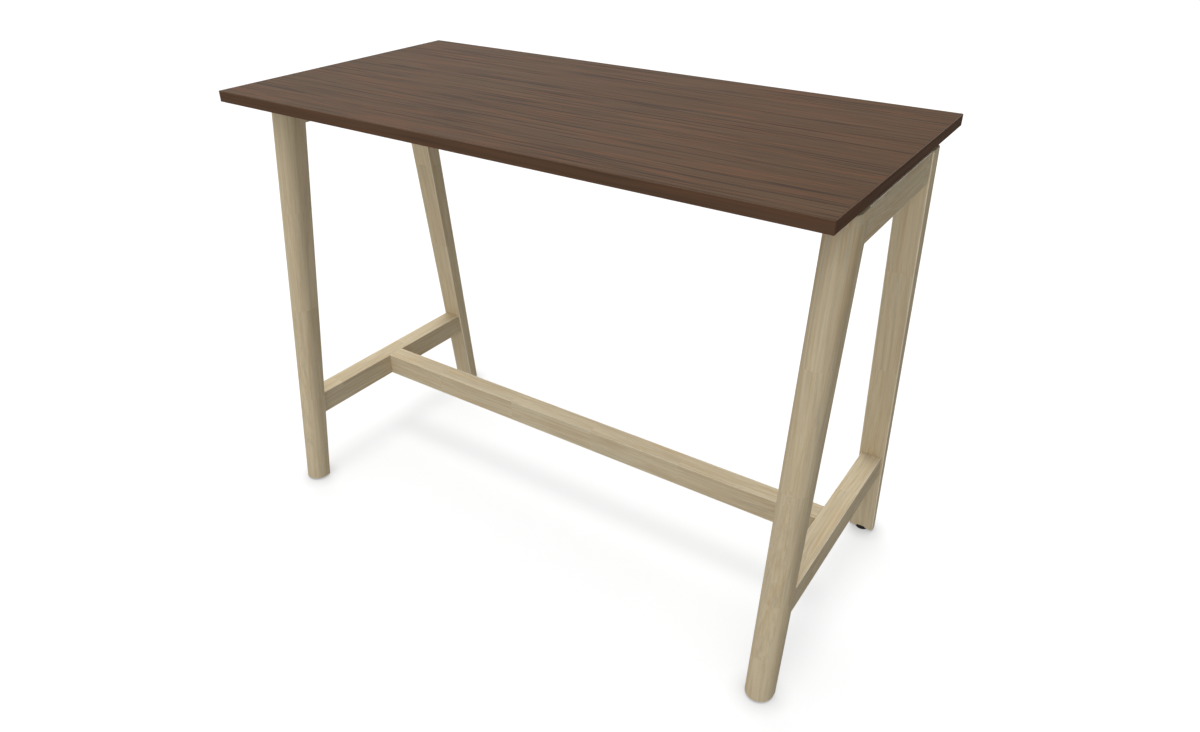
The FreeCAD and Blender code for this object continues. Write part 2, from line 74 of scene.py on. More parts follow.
def vecCalc(tree, operation, first, second):
    node = put(tree, "ShaderNodeVectorMath", operation=operation)
    plug(tree, node.inputs[0], first)
    plug(tree, node.inputs["Scale"] if operation == "SCALE" else node.inputs[1], second)
    return node.outputs["Vector"]


def openTree(name, kind, takes, gives):
    tree = bpy.data.node_groups.new(name, kind)
    for label, socket in takes.items():
        tree.interface.new_socket(label, in_out="INPUT", socket_type="NodeSocket" + socket)
    for label, socket in gives.items():
        tree.interface.new_socket(label, in_out="OUTPUT", socket_type="NodeSocket" + socket)
    return tree, tree.nodes.new("NodeGroupInput").outputs, tree.nodes.new("NodeGroupOutput").inputs


# shader groups shared by the finishes
def noiseAt(tree, vector, stretch, detail, rough, distortion=0.0):
    spread = put(tree, "ShaderNodeMapping", {"Vector": vector, "Scale": stretch})
    noise = put(tree, "ShaderNodeTexNoise", {"Vector": spread.outputs[0], "Scale": 1.0, "Detail": detail,
                                             "Roughness": rough, "Distortion": distortion})
    return noise.outputs["Fac"]


def blend(tree, fac, first, second):
    node = put(tree, "ShaderNodeMix", data_type="RGBA")
    plug(tree, node.inputs["Factor"], fac)
    plug(tree, node.inputs[6], first)  # sockets 6 and 7 are the two colours
    plug(tree, node.inputs[7], second)
    return node.outputs[2]


def remap(tree, value, low, high, floor=0.0, top=1.0):
    node = put(tree, "ShaderNodeMapRange", {"Value": value, "From Min": low, "From Max": high,
                                            "To Min": floor, "To Max": top})
    return node.outputs["Result"]


# pale wood: a noise has its waves per metre in x, y and z, its detail and its roughness
# four numbers remap a noise: from low, from high, to low, to high
paleFigure = {
    "noises": {"thread": ((1700.0, 1700.0, 24.0), 2.0, 0.6), "fibre": ((420.0, 420.0, 8.0), 3.0, 0.6),
               "streak": ((170.0, 170.0, 3.0), 3.0, 0.55), "cloud": ((24.0, 24.0, 3.0), 2.0, 0.5),
               "tint": ((140.0, 140.0, 2.4), 3.0, 0.6), "fleck": ((1000.0, 1000.0, 90.0), 1.0, 0.5)},
    "swing": {"thread": 1.0, "fibre": 1.7, "streak": 2.4, "cloud": 0.8},
    "middleTone": 0.45, "staveTone": 0.26, "staveJump": 7.0, "swayWaves": 9.0, "swayReach": 4 * mm,
    "fleckTone": (0.6, 0.74, 0.0, 0.3), "fleckPit": -0.4, "tanToGrey": (0.40, 0.60, 0.0, 1.0),
    "wearAndHighlightSpread": (0.3, 0.7, 0.5, 0.9), "roughness": (0.3, 0.7, 0.72, 0.84),
}


def buildPaleGrain():
    tree, takes, gives = openTree(
        "paleGrain", "ShaderNodeTree",
        {"Grain": "Vector", "Arris": "Float", "Pale": "Color", "Tan": "Color", "Grey": "Color",
         "Rubbed": "Color", "Stave Length": "Float", "Figure": "Float"},
        {"Color": "Color", "Roughness": "Float", "Height": "Float", "Polish": "Float"})
    split = put(tree, "ShaderNodeSeparateXYZ", {"Vector": takes["Grain"]})
    across, along = split.outputs["X"], split.outputs["Z"]
    # glued staves: each length has its own tone and its own piece of grain, and each bar its own draw
    stave = calc(tree, "FLOOR", calc(tree, "DIVIDE", along, takes["Stave Length"]))
    barNumber = calc(tree, "FLOOR", calc(tree, "ADD", across, 0.5))
    draw = put(tree, "ShaderNodeCombineXYZ", {"X": barNumber, "Y": stave, "Z": 0.0})
    chance = put(tree, "ShaderNodeTexWhiteNoise", {"Vector": draw.outputs[0]}, noise_dimensions="3D")
    jump = vecCalc(tree, "SCALE", chance.outputs["Color"], paleFigure["staveJump"])
    wave = calc(tree, "SINE", calc(tree, "MULTIPLY", along, paleFigure["swayWaves"]))
    wave = calc(tree, "MULTIPLY", wave, paleFigure["swayReach"])
    sway = put(tree, "ShaderNodeCombineXYZ", {"X": wave, "Y": wave, "Z": 0.0})
    grain = vecCalc(tree, "ADD", vecCalc(tree, "ADD", takes["Grain"], sway.outputs[0]), jump)
    noises = {name: noiseAt(tree, grain, *values) for name, values in paleFigure["noises"].items()}
    tone = paleFigure["middleTone"]
    for name, weight in paleFigure["swing"].items():
        swing = calc(tree, "MULTIPLY", calc(tree, "SUBTRACT", noises[name], 0.5), takes["Figure"])
        tone = calc(tree, "MULTIPLY_ADD", swing, weight, tone)
    luck = calc(tree, "SUBTRACT", chance.outputs["Value"], 0.5)
    tone = calc(tree, "MULTIPLY_ADD", luck, paleFigure["staveTone"], tone)
    tone = calc(tree, "ADD", tone, remap(tree, noises["fleck"], *paleFigure["fleckTone"]))
    deep = blend(tree, remap(tree, noises["tint"], *paleFigure["tanToGrey"]), takes["Tan"], takes["Grey"])
    color = blend(tree, tone, takes["Pale"], deep)
    # arrises take a lighter colour along the rounded edges: partly wear, partly a painted highlight; the
    # same mask sets the coat
    wearAndHighlight = calc(tree, "MULTIPLY", takes["Arris"], remap(tree, noises["fibre"], *paleFigure["wearAndHighlightSpread"]))
    pits = calc(tree, "MULTIPLY", noises["fleck"], paleFigure["fleckPit"])
    tree.links.new(blend(tree, wearAndHighlight, color, takes["Rubbed"]), gives["Color"])
    tree.links.new(remap(tree, noises["streak"], *paleFigure["roughness"]), gives["Roughness"])
    tree.links.new(calc(tree, "ADD", noises["fibre"], pits), gives["Height"])
    tree.links.new(wearAndHighlight, gives["Polish"])
    return tree


# walnut: noted as above, and the last number of the broad noise distorts it
walnutLines = {
    "drift": ((1.9, 5.0, 5.0), 2.0, 0.5), "driftReach": 20 * mm,
    "noises": {"broad": ((2.6, 30.0, 30.0), 3.0, 0.55, 0.3), "blush": ((5.0, 92.0, 92.0), 3.0, 0.6),
               "line": ((3.0, 165.0, 165.0), 4.0, 0.6), "hair": ((5.0, 420.0, 420.0), 3.0, 0.6),
               "pore": ((60.0, 1500.0, 1500.0), 1.0, 0.5)},
    "brownToPale": (0.36, 0.66, 0.0, 1.0), "reddening": (0.49, 0.61, 0.0, 1.0),
    "darkening": {"line": (0.52, 0.66, 0.0, 0.95), "hair": (0.45, 0.72, 0.0, 0.55),
                  "pore": (0.6, 0.72, 0.0, 0.25)},
    "wearAndHighlightSpread": (0.3, 0.7, 0.6, 1.0), "roughness": (0.3, 0.7, 0.62, 0.74), "porePit": -0.8,
}


def buildWalnutFigure():
    tree, takes, gives = openTree(
        "walnutFigure", "ShaderNodeTree",
        {"Vector": "Vector", "Arris": "Float", "Brown": "Color", "Red": "Color", "Dark": "Color",
         "Pale": "Color", "Rubbed": "Color"},
        {"Color": "Color", "Roughness": "Float", "Height": "Float", "Polish": "Float"})
    # the run of the grain wanders a little along the length
    drift = noiseAt(tree, takes["Vector"], *walnutLines["drift"])
    wander = calc(tree, "MULTIPLY", calc(tree, "SUBTRACT", drift, 0.5), walnutLines["driftReach"])
    bend = put(tree, "ShaderNodeCombineXYZ", {"X": 0.0, "Y": wander, "Z": 0.0})
    grain = vecCalc(tree, "ADD", takes["Vector"], bend.outputs[0])
    noises = {name: noiseAt(tree, grain, *values) for name, values in walnutLines["noises"].items()}
    paler = remap(tree, noises["broad"], *walnutLines["brownToPale"])
    color = blend(tree, paler, takes["Brown"], takes["Pale"])
    color = blend(tree, remap(tree, noises["blush"], *walnutLines["reddening"]), color, takes["Red"])
    for name, span in walnutLines["darkening"].items():
        color = blend(tree, remap(tree, noises[name], *span), color, takes["Dark"])
    # arrises of the bands take a lighter colour along the rounded edges: partly wear, partly a painted
    # highlight
    wearAndHighlight = calc(tree, "MULTIPLY", takes["Arris"], remap(tree, noises["hair"], *walnutLines["wearAndHighlightSpread"]))
    pits = calc(tree, "MULTIPLY", noises["pore"], walnutLines["porePit"])
    tree.links.new(blend(tree, wearAndHighlight, color, takes["Rubbed"]), gives["Color"])
    tree.links.new(remap(tree, noises["line"], *walnutLines["roughness"]), gives["Roughness"])
    tree.links.new(calc(tree, "ADD", noises["hair"], pits), gives["Height"])
    tree.links.new(wearAndHighlight, gives["Polish"])
    return tree


# fine tooth of coatings, castings and boards, with faint broader patches
toothMix = {"patch": (28.0, 28.0, 28.0), "detail": 2.0, "rough": 0.5, "gritShare": 0.6, "patchShare": 0.4,
            "low": 0.35, "high": 0.65}


def buildFineTooth():
    tree, takes, gives = openTree(
        "fineTooth", "ShaderNodeTree",
        {"Vector": "Vector", "Grit": "Float", "Light": "Color", "Deep": "Color",
         "Smooth": "Float", "Rough": "Float"},
        {"Color": "Color", "Roughness": "Float", "Height": "Float"})
    low, high, detail, rough = toothMix["low"], toothMix["high"], toothMix["detail"], toothMix["rough"]
    even = put(tree, "ShaderNodeCombineXYZ", {"X": takes["Grit"], "Y": takes["Grit"], "Z": takes["Grit"]})
    grit = noiseAt(tree, takes["Vector"], even.outputs[0], detail, rough)
    patch = noiseAt(tree, takes["Vector"], toothMix["patch"], detail, rough)
    tone = calc(tree, "ADD", calc(tree, "MULTIPLY", grit, toothMix["gritShare"]),
                calc(tree, "MULTIPLY", patch, toothMix["patchShare"]))
    deepness = remap(tree, tone, low, high)
    tree.links.new(blend(tree, deepness, takes["Light"], takes["Deep"]), gives["Color"])
    tree.links.new(remap(tree, tone, low, high, takes["Smooth"], takes["Rough"]), gives["Roughness"])
    tree.links.new(grit, gives["Height"])
    return tree


paleGrain = buildPaleGrain()
walnutFigure = buildWalnutFigure()
fineTooth = buildFineTooth()
print("shader groups built")


# finishes: a pattern group with its own values, a relief of some strength and depth, fixed shader values
def finish(name, group, values, source, relief, fixed, turn=(0, 0, 0)):
    material = bpy.data.materials.new(name)
    material.use_nodes = True
    tree = material.node_tree
    shader = tree.nodes["Principled BSDF"]
    pattern = put(tree, "ShaderNodeGroup", node_tree=group)
    for label, value in values.items():
        pattern.inputs[label].default_value = value
    if source == "grain":
        place = put(tree, "ShaderNodeAttribute", attribute_name="grain").outputs["Vector"]
        arris = put(tree, "ShaderNodeAttribute", attribute_name="arris").outputs["Fac"]
        tree.links.new(arris, pattern.inputs["Arris"])
        tree.links.new(pattern.outputs["Polish"], shader.inputs["Coat Weight"])
    else:
        place = put(tree, "ShaderNodeTexCoord").outputs["Object"]
    place = put(tree, "ShaderNodeMapping", {"Vector": place, "Rotation": turn}).outputs[0]
    tree.links.new(place, pattern.inputs[0])
    tree.links.new(pattern.outputs["Color"], shader.inputs["Base Color"])
    tree.links.new(pattern.outputs["Roughness"], shader.inputs["Roughness"])
    strength, distance = relief
    bump = put(tree, "ShaderNodeBump", {"Height": pattern.outputs["Height"], "Strength": strength,
                                        "Distance": distance})
    tree.links.new(bump.outputs["Normal"], shader.inputs["Normal"])
    for label, value in fixed.items():
        shader.inputs[label].default_value = value
    return material


# pale wood of the legs, and of the bars and rail with a stronger figure
# each tone set's arris colour is lighter than the wood: partly wear, partly a painted highlight on the
# rounded edges
legTones = {"Pale": (0.735, 0.622, 0.425, 1), "Tan": (0.63, 0.485, 0.290, 1),
            "Grey": (0.60, 0.510, 0.360, 1), "Rubbed": (0.88, 0.78, 0.58, 1),
            "Stave Length": 250 * mm, "Figure": 1.05}
barTones = {**legTones, "Pale": (0.728, 0.626, 0.440, 1), "Figure": 1.4}
paleLegs, paleBars = [
    finish(name, paleGrain, tones, "grain", (0.25, 0.2 * mm),
           {"Specular IOR Level": 0.02, "Coat Roughness": 0.3, "Coat IOR": 1.9})
    for name, tones in (("paleLegs", legTones), ("paleBars", barTones))]
dowelWood = finish("dowelWood", paleGrain,
                   {"Pale": (0.62, 0.49, 0.32, 1), "Tan": (0.5, 0.37, 0.22, 1),
                    "Grey": (0.48, 0.39, 0.26, 1), "Stave Length": 4000 * mm, "Figure": 0.8},
                   "object", (0.3, 0.2 * mm), {"Specular IOR Level": 0.15})

# walnut of the top's sheet, of the long bands, and a darker copy of the long bands' walnut for the end
# bands, which is painted shade on their sideways faces
walnutTop = finish("walnutTop", walnutFigure,
                   {"Brown": (0.099, 0.056, 0.030, 1), "Red": (0.137, 0.065, 0.032, 1),
                    "Dark": (0.046, 0.031, 0.023, 1), "Pale": (0.112, 0.066, 0.036, 1)},
                   "object", (0.12, 0.1 * mm), {"Specular IOR Level": 0.04})
edgeTones = {"Brown": (0.123, 0.070, 0.042, 1), "Red": (0.138, 0.073, 0.042, 1),
             "Dark": (0.094, 0.056, 0.036, 1), "Pale": (0.133, 0.077, 0.047, 1),
             "Rubbed": (0.17, 0.098, 0.060, 1)}
# the end bands' walnut is the long bands' walnut made darker: painted shade, not a different wood
shadedEndTones = {"Brown": (0.104, 0.060, 0.036, 1), "Red": (0.116, 0.061, 0.035, 1),
            "Dark": (0.076, 0.046, 0.030, 1), "Pale": (0.114, 0.066, 0.040, 1),
            "Rubbed": (0.15, 0.086, 0.053, 1)}
walnutEdge, walnutEndShaded = [
    finish(name, walnutFigure, tones, "grain", (0.12, 0.1 * mm),
           {"Specular IOR Level": 0.01, "Coat Roughness": 0.3, "Coat IOR": 1.15}, (0, math.radians(90), 0))
    for name, tones in (("walnutEdge", edgeTones), ("walnutEndShaded", shadedEndTones))]

# board, coatings, metal and plastic
backing = finish("backing", fineTooth,
                 {"Grit": 900.0, "Light": (0.14, 0.088, 0.06, 1), "Deep": (0.115, 0.07, 0.048, 1),
                  "Smooth": 0.5, "Rough": 0.65},
                 "object", (0.2, 0.1 * mm), {"Specular IOR Level": 0.25})
board = finish("board", fineTooth,
               {"Grit": 320.0, "Light": (0.5, 0.38, 0.24, 1), "Deep": (0.34, 0.24, 0.14, 1),
                "Smooth": 0.75, "Rough": 0.95},
               "object", (0.6, 0.5 * mm), {"Specular IOR Level": 0.1})
powderCoat = finish("powderCoat", fineTooth,
                    {"Grit": 1400.0, "Light": (0.034, 0.034, 0.036, 1), "Deep": (0.024, 0.024, 0.025, 1),
                     "Smooth": 0.46, "Rough": 0.6},
                    "object", (0.35, 0.2 * mm), {"Specular IOR Level": 0.4})
zincPlate = finish("zincPlate", fineTooth,
                   {"Grit": 1100.0, "Light": (0.66, 0.66, 0.63, 1), "Deep": (0.52, 0.52, 0.5, 1),
                    "Smooth": 0.24, "Rough": 0.4},
                   "object", (0.15, 0.1 * mm), {"Metallic": 1.0})
castMetal = finish("castMetal", fineTooth,
                   {"Grit": 700.0, "Light": (0.55, 0.55, 0.55, 1), "Deep": (0.42, 0.42, 0.43, 1),
                    "Smooth": 0.4, "Rough": 0.6},
                   "object", (0.4, 0.2 * mm), {"Metallic": 1.0})
mouldedBlack = finish("mouldedBlack", fineTooth,
                      {"Grit": 1800.0, "Light": (0.030, 0.030, 0.032, 1), "Deep": (0.020, 0.020, 0.022, 1),
                       "Smooth": 0.7, "Rough": 0.85},
                      "object", (0.3, 0.2 * mm), {"Specular IOR Level": 0.08})
print("finishes built")


# geometry trees
def attributeOut(tree, name, kind):
    node = put(tree, "GeometryNodeInputNamedAttribute", {"Name": name}, data_type=kind)
    return node.outputs["Attribute"]


def stored(tree, geometry, name, kind, value):
    node = put(tree, "GeometryNodeStoreNamedAttribute", {"Geometry": geometry, "Name": name},
               data_type=kind, domain="POINT")
    plug(tree, node.inputs["Value"], value)
    return node.outputs[0]


# both trees end alike: real geometry in one finish
def closeTree(tree, geometry, takes, gives):
    whole = put(tree, "GeometryNodeRealizeInstances", {"Geometry": geometry}).outputs[0]
    dressed = put(tree, "GeometryNodeSetMaterial", {"Geometry": whole, "Material": takes["Finish"]})
    tree.links.new(dressed.outputs[0], gives["Geometry"])


# a bar swept from its own outline: it can lean, grow deeper towards one end and have slanting end cuts
def buildBarSweep():
    tree, takes, gives = openTree(
        "barSweep", "GeometryNodeTree",
        {"Geometry": "Geometry", "Low End": "Float", "High End": "Float", "Sections": "Int",
         "Out Start": "Float", "Lean": "Float", "Taper": "Float", "Taper From": "Float",
         "Low Cut": "Float", "High Cut": "Float", "Origin": "Vector", "Across Axis": "Vector",
         "Out Axis": "Vector", "Along Axis": "Vector", "Grain Shift": "Vector", "Finish": "Material"},
        {"Geometry": "Geometry"})
    here = put(tree, "GeometryNodeInputPosition").outputs[0]
    outline = stored(tree, takes["Geometry"], "section", "FLOAT_VECTOR", here)
    outline = put(tree, "GeometryNodeMeshToCurve", {"Mesh": outline}).outputs[0]
    path = put(tree, "GeometryNodeCurvePrimitiveLine", {"Start": (0, 0, 0), "End": (0, 0, 1)}).outputs[0]
    path = put(tree, "GeometryNodeResampleCurve", {"Curve": path, "Count": takes["Sections"]}).outputs[0]
    path = stored(tree, path, "run", "FLOAT", put(tree, "GeometryNodeSplineParameter").outputs["Factor"])
    skin = put(tree, "GeometryNodeCurveToMesh",
               {"Curve": path, "Profile Curve": outline, "Fill Caps": True}).outputs[0]
    split = put(tree, "ShaderNodeSeparateXYZ", {"Vector": attributeOut(tree, "section", "FLOAT_VECTOR")})
    across, out = split.outputs[0], split.outputs[1]
    run = attributeOut(tree, "run", "FLOAT")
    deeper = calc(tree, "MULTIPLY", calc(tree, "GREATER_THAN", out, takes["Taper From"]), takes["Taper"])
    shift = calc(tree, "MULTIPLY", run, calc(tree, "ADD", deeper, takes["Lean"]))
    outFull = calc(tree, "ADD", calc(tree, "ADD", out, takes["Out Start"]), shift)
    span = calc(tree, "SUBTRACT", takes["High End"], takes["Low End"])
    cutSpan = calc(tree, "SUBTRACT", takes["High Cut"], takes["Low Cut"])
    cutHere = calc(tree, "ADD", takes["Low Cut"], calc(tree, "MULTIPLY", run, cutSpan))
    along = calc(tree, "ADD", takes["Low End"], calc(tree, "MULTIPLY", run, span))
    along = calc(tree, "ADD", along, calc(tree, "MULTIPLY", cutHere, out))
    spot = takes["Origin"]
    for value, axis in ((across, "Across Axis"), (outFull, "Out Axis"), (along, "Along Axis")):
        spot = vecCalc(tree, "ADD", spot, vecCalc(tree, "SCALE", takes[axis], value))
    skin = put(tree, "GeometryNodeSetPosition", {"Geometry": skin, "Position": spot}).outputs[0]
    local = put(tree, "ShaderNodeCombineXYZ", {"X": across, "Y": out, "Z": along}).outputs[0]
    skin = stored(tree, skin, "grain", "FLOAT_VECTOR", vecCalc(tree, "ADD", local, takes["Grain Shift"]))
    for name in ("section", "run"):
        skin = put(tree, "GeometryNodeRemoveAttribute", {"Geometry": skin, "Name": name}).outputs[0]
    closeTree(tree, skin, takes, gives)
    return tree


weldGap = 0.001 * mm  # closes the poles of a turned part


# turned parts: a half profile spun round, set at every loose point of the mesh and aimed along its "aim"
def buildTurnedParts():
    tree, takes, gives = openTree(
        "turnedParts", "GeometryNodeTree",
        {"Geometry": "Geometry", "Sides": "Int", "Thread Depth": "Float", "Pitch": "Float",
         "Finish": "Material"},
        {"Geometry": "Geometry"})
    here = put(tree, "GeometryNodeInputPosition").outputs[0]
    isPlace = calc(tree, "GREATER_THAN", attributeOut(tree, "place", "FLOAT"), 0.5)
    spots = put(tree, "GeometryNodeMeshToPoints", {"Mesh": takes["Geometry"], "Selection": isPlace})
    profile = stored(tree, takes["Geometry"], "section", "FLOAT_VECTOR", here)
    profile = put(tree, "GeometryNodeMeshToCurve", {"Mesh": profile}).outputs[0]
    ring = put(tree, "GeometryNodeCurvePrimitiveCircle", {"Resolution": takes["Sides"]}).outputs[0]
    ring = stored(tree, ring, "run", "FLOAT", put(tree, "GeometryNodeSplineParameter").outputs["Factor"])
    skin = put(tree, "GeometryNodeCurveToMesh", {"Curve": ring, "Profile Curve": profile}).outputs[0]
    split = put(tree, "ShaderNodeSeparateXYZ", {"Vector": attributeOut(tree, "section", "FLOAT_VECTOR")})
    radius, height = split.outputs[0], split.outputs[2]
    run = attributeOut(tree, "run", "FLOAT")
    angle = calc(tree, "MULTIPLY", run, math.tau)
    # rows marked hexed follow a six-sided key hole, rows marked threaded follow a screw thread
    sixth = math.tau / 6
    fromFlat = calc(tree, "SUBTRACT", calc(tree, "MODULO", angle, sixth), sixth / 2)
    sixSided = calc(tree, "SUBTRACT", calc(tree, "DIVIDE", 1.0, calc(tree, "COSINE", fromFlat)), 1.0)
    sixSided = calc(tree, "MULTIPLY", sixSided, attributeOut(tree, "hexed", "FLOAT"))
    radius = calc(tree, "MULTIPLY", radius, calc(tree, "ADD", sixSided, 1.0))
    turn = calc(tree, "FRACT", calc(tree, "SUBTRACT", calc(tree, "DIVIDE", height, takes["Pitch"]), run))
    valley = calc(tree, "ABSOLUTE", calc(tree, "SUBTRACT", calc(tree, "MULTIPLY", turn, 2.0), 1.0))
    valley = calc(tree, "MULTIPLY", valley, takes["Thread Depth"])
    valley = calc(tree, "MULTIPLY", valley, attributeOut(tree, "threaded", "FLOAT"))
    radius = calc(tree, "SUBTRACT", radius, valley)
    spot = put(tree, "ShaderNodeCombineXYZ", {
        "X": calc(tree, "MULTIPLY", radius, calc(tree, "COSINE", angle)),
        "Y": calc(tree, "MULTIPLY", radius, calc(tree, "SINE", angle)), "Z": height}).outputs[0]
    skin = put(tree, "GeometryNodeSetPosition", {"Geometry": skin, "Position": spot}).outputs[0]
    skin = put(tree, "GeometryNodeMergeByDistance", {"Geometry": skin, "Distance": weldGap}).outputs[0]
    turnTo = put(tree, "FunctionNodeAlignRotationToVector",
                 {"Vector": attributeOut(tree, "aim", "FLOAT_VECTOR")}, axis="Z").outputs[0]
    copies = put(tree, "GeometryNodeInstanceOnPoints",
                 {"Points": spots.outputs[0], "Instance": skin, "Rotation": turnTo}).outputs[0]
    closeTree(tree, copies, takes, gives)
    return tree


barSweep = buildBarSweep()
turnedParts = buildTurnedParts()
print("geometry trees built")

smoothAngle = math.radians(40)  # faces that meet at a smaller angle are shaded as one
easedEdges = {"segments": 2, "fromAngle": math.radians(55)}  # bevel of the sharp end arrises


# runs a tree on an object's own mesh and keeps the result as a plain mesh at the origin
def shapeFrom(name, mesh, tree, values):
    piece = bpy.data.objects.new(name, mesh)
    scene.collection.objects.link(piece)
    shape = piece.modifiers.new("shape", "NODES")
    shape.node_group = tree
    for item in tree.interface.items_tree:
        if item.in_out == "INPUT" and item.name in values:
            shape[item.identifier] = values[item.name]
    made = bpy.data.meshes.new_from_object(piece.evaluated_get(bpy.context.evaluated_depsgraph_get()))
    piece.modifiers.remove(shape)
    piece.data = made
    bpy.data.meshes.remove(mesh)
    made.name = name
    work = bmesh.new()
    work.from_mesh(made)
    bmesh.ops.recalc_face_normals(work, faces=work.faces)
    for face in work.faces:
        face.smooth = True
    work.to_mesh(made)
    work.free()
    made.set_sharp_from_angle(angle=smoothAngle)
    return piece


def easeEnds(piece, width):
    ease = piece.modifiers.new("easedEnds", "BEVEL")
    ease.width = width
    ease.segments = easedEdges["segments"]
    ease.limit_method = "ANGLE"
    ease.angle_limit = easedEdges["fromAngle"]
    even = piece.modifiers.new("evenNormals", "WEIGHTED_NORMAL")
    even.keep_sharp = True


def settle(piece, body, slot, *nodes):
    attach(piece, body)
    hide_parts(*nodes)


# "foot_pad_front_left" becomes "footPadFrontLeft"
def pieceName(node):
    first, *rest = node.split("_")
    return first + "".join(word.title() for word in rest)


def arc(centreX, centreY, radius, start, end, steps):
    turns = [math.radians(start + (end - start) * i / steps) for i in range(steps + 1)]
    return [(centreX + radius * math.cos(turn), centreY + radius * math.sin(turn)) for turn in turns]


# rectangle outline with its own radius at each corner: low-left, low-right, high-right, high-left
def roundedOutline(x0, x1, y0, y1, radii, steps=5):
    spots = []
    corners = ((x0, y0, 1, 1, 180), (x1, y0, -1, 1, 270), (x1, y1, -1, -1, 0), (x0, y1, 1, -1, 90))
    for (x, y, inX, inY, start), radius in zip(corners, radii):
        if radius:
            spots += arc(x + inX * radius, y + inY * radius, radius, start, start + 90, steps)
        else:
            spots.append((x, y))
    return spots


arrisStep = 0.7 * mm  # outline points closer than this to both neighbours lie on a rounded arris


def loopMesh(name, spots):
    mesh = bpy.data.meshes.new(name)
    count = len(spots)
    mesh.from_pydata([(x, y, 0) for x, y in spots], [(i, (i + 1) % count) for i in range(count)], [])
    spots = [Vector(spot) for spot in spots]
    gaps = [(spots[(i + 1) % count] - spot).length for i, spot in enumerate(spots)]
    arris = [float(max(gaps[i - 1], gaps[i]) < arrisStep) for i in range(count)]
    mesh.attributes.new("arris", "FLOAT", "POINT").data.foreach_set("value", arris)
    return mesh


# a plain bar has no lean, no taper and square ends
straightBar = {"Out Start": 0.0, "Lean": 0.0, "Taper": 0.0, "Taper From": 0.0, "Low Cut": 0.0,
               "High Cut": 0.0, "Grain Shift": (0.0, 0.0, 0.0)}


def bar(name, outline, look, ease, values):
    full = {**straightBar, **values, "Finish": look}
    piece = shapeFrom(name, loopMesh(name, outline), barSweep, full)
    if ease:
        easeEnds(piece, ease)
    return piece


lowPieces = []  # pieces near the floor, whose shadow it keeps
axisX, axisY, axisZ = (1.0, 0.0, 0.0), (0.0, 1.0, 0.0), (0.0, 0.0, 1.0)


# legs: flat inside, half round outside, leaning in and growing deeper upwards
legs = {
    "width": 60 * mm, "cornerRadius": 2 * mm, "depthBottom": 44 * mm, "depthTop": 63.5 * mm,
    "flatBottom": 299 * mm, "flatTop": 175.5 * mm, "taperFrom": 8 * mm, "endEase": 0.6 * mm,
    "cornerSteps": 5, "roundSteps": 44, "sections": 31,
    "recessRadius": 17.4 * mm, "recessTop": 8.9 * mm, "recessSides": 72,
    "grain": {"front_left": (1.0, 0.4, 0.002), "front_right": (2.0, 0.2, 0.002),
              "rear_left": (3.0, 0.7, 0.008), "rear_right": (4.0, 0.9, 0.002)},
}


def legOutline(sizes):
    half, corner, steps = sizes["width"] / 2, sizes["cornerRadius"], sizes["cornerSteps"]
    spots = arc(-half + corner, corner, corner, 180, 270, steps)
    spots += arc(half - corner, corner, corner, 270, 360, steps)
    return spots + arc(0, sizes["depthBottom"] - half, half, 0, 180, sizes["roundSteps"])


# round recess for the levelling foot in the end of a leg, open at the flat side
def cutRecess(piece, centre, shift, sizes):
    cutter = bpy.data.meshes.new("recess")
    work = bmesh.new()
    bmesh.ops.create_cone(work, cap_ends=True, segments=sizes["recessSides"], radius1=sizes["recessRadius"],
                          radius2=sizes["recessRadius"], depth=2 * sizes["recessTop"])
    work.to_mesh(cutter)
    work.free()
    recess = bpy.data.objects.new("recess", cutter)
    recess.location = centre
    scene.collection.objects.link(recess)
    cut = piece.modifiers.new("recess", "BOOLEAN")
    cut.operation = "DIFFERENCE"
    cut.solver = "EXACT"
    cut.object = recess
    made = bpy.data.meshes.new_from_object(piece.evaluated_get(bpy.context.evaluated_depsgraph_get()))
    piece.modifiers.remove(cut)
    whole, piece.data = piece.data, made
    bpy.data.meshes.remove(whole)
    bpy.data.objects.remove(recess)
    bpy.data.meshes.remove(cutter)
    made.name = piece.name
    # the cut's own points take their place in the grain
    grain, arris = made.attributes["grain"].data, made.attributes["arris"].data
    for spot in made.vertices:
        offset = spot.co - Vector(centre)
        if offset.xy.length < sizes["recessRadius"] + sizes["cornerRadius"]:
            local = Vector((offset.x, abs(spot.co.y) - sizes["flatBottom"], spot.co.z))
            grain[spot.index].vector = local + Vector(shift)
            arris[spot.index].value = 0.0
    made.set_sharp_from_angle(angle=smoothAngle)


for place, shift in legs["grain"].items():
    node = "leg_" + place
    low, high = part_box(node)
    padLow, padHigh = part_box("foot_pad_" + place)
    outwards = -1.0 if place.startswith("front") else 1.0
    piece = bar(pieceName(node), legOutline(legs), paleLegs, 0, {
        "Low End": low.z, "High End": high.z, "Sections": legs["sections"], "Out Start": legs["flatBottom"],
        "Lean": legs["flatTop"] - legs["flatBottom"], "Taper": legs["depthTop"] - legs["depthBottom"],
        "Taper From": legs["taperFrom"], "Origin": ((low.x + high.x) / 2, 0.0, 0.0), "Across Axis": axisX,
        "Out Axis": (0.0, outwards, 0.0), "Along Axis": axisZ, "Grain Shift": shift})
    cutRecess(piece, ((padLow.x + padHigh.x) / 2, (padLow.y + padHigh.y) / 2, 0.0), shift, legs)
    easeEnds(piece, legs["endEase"])
    settle(piece, "table", "pale_wood", node)
    lowPieces.append(piece)
print("legs built")


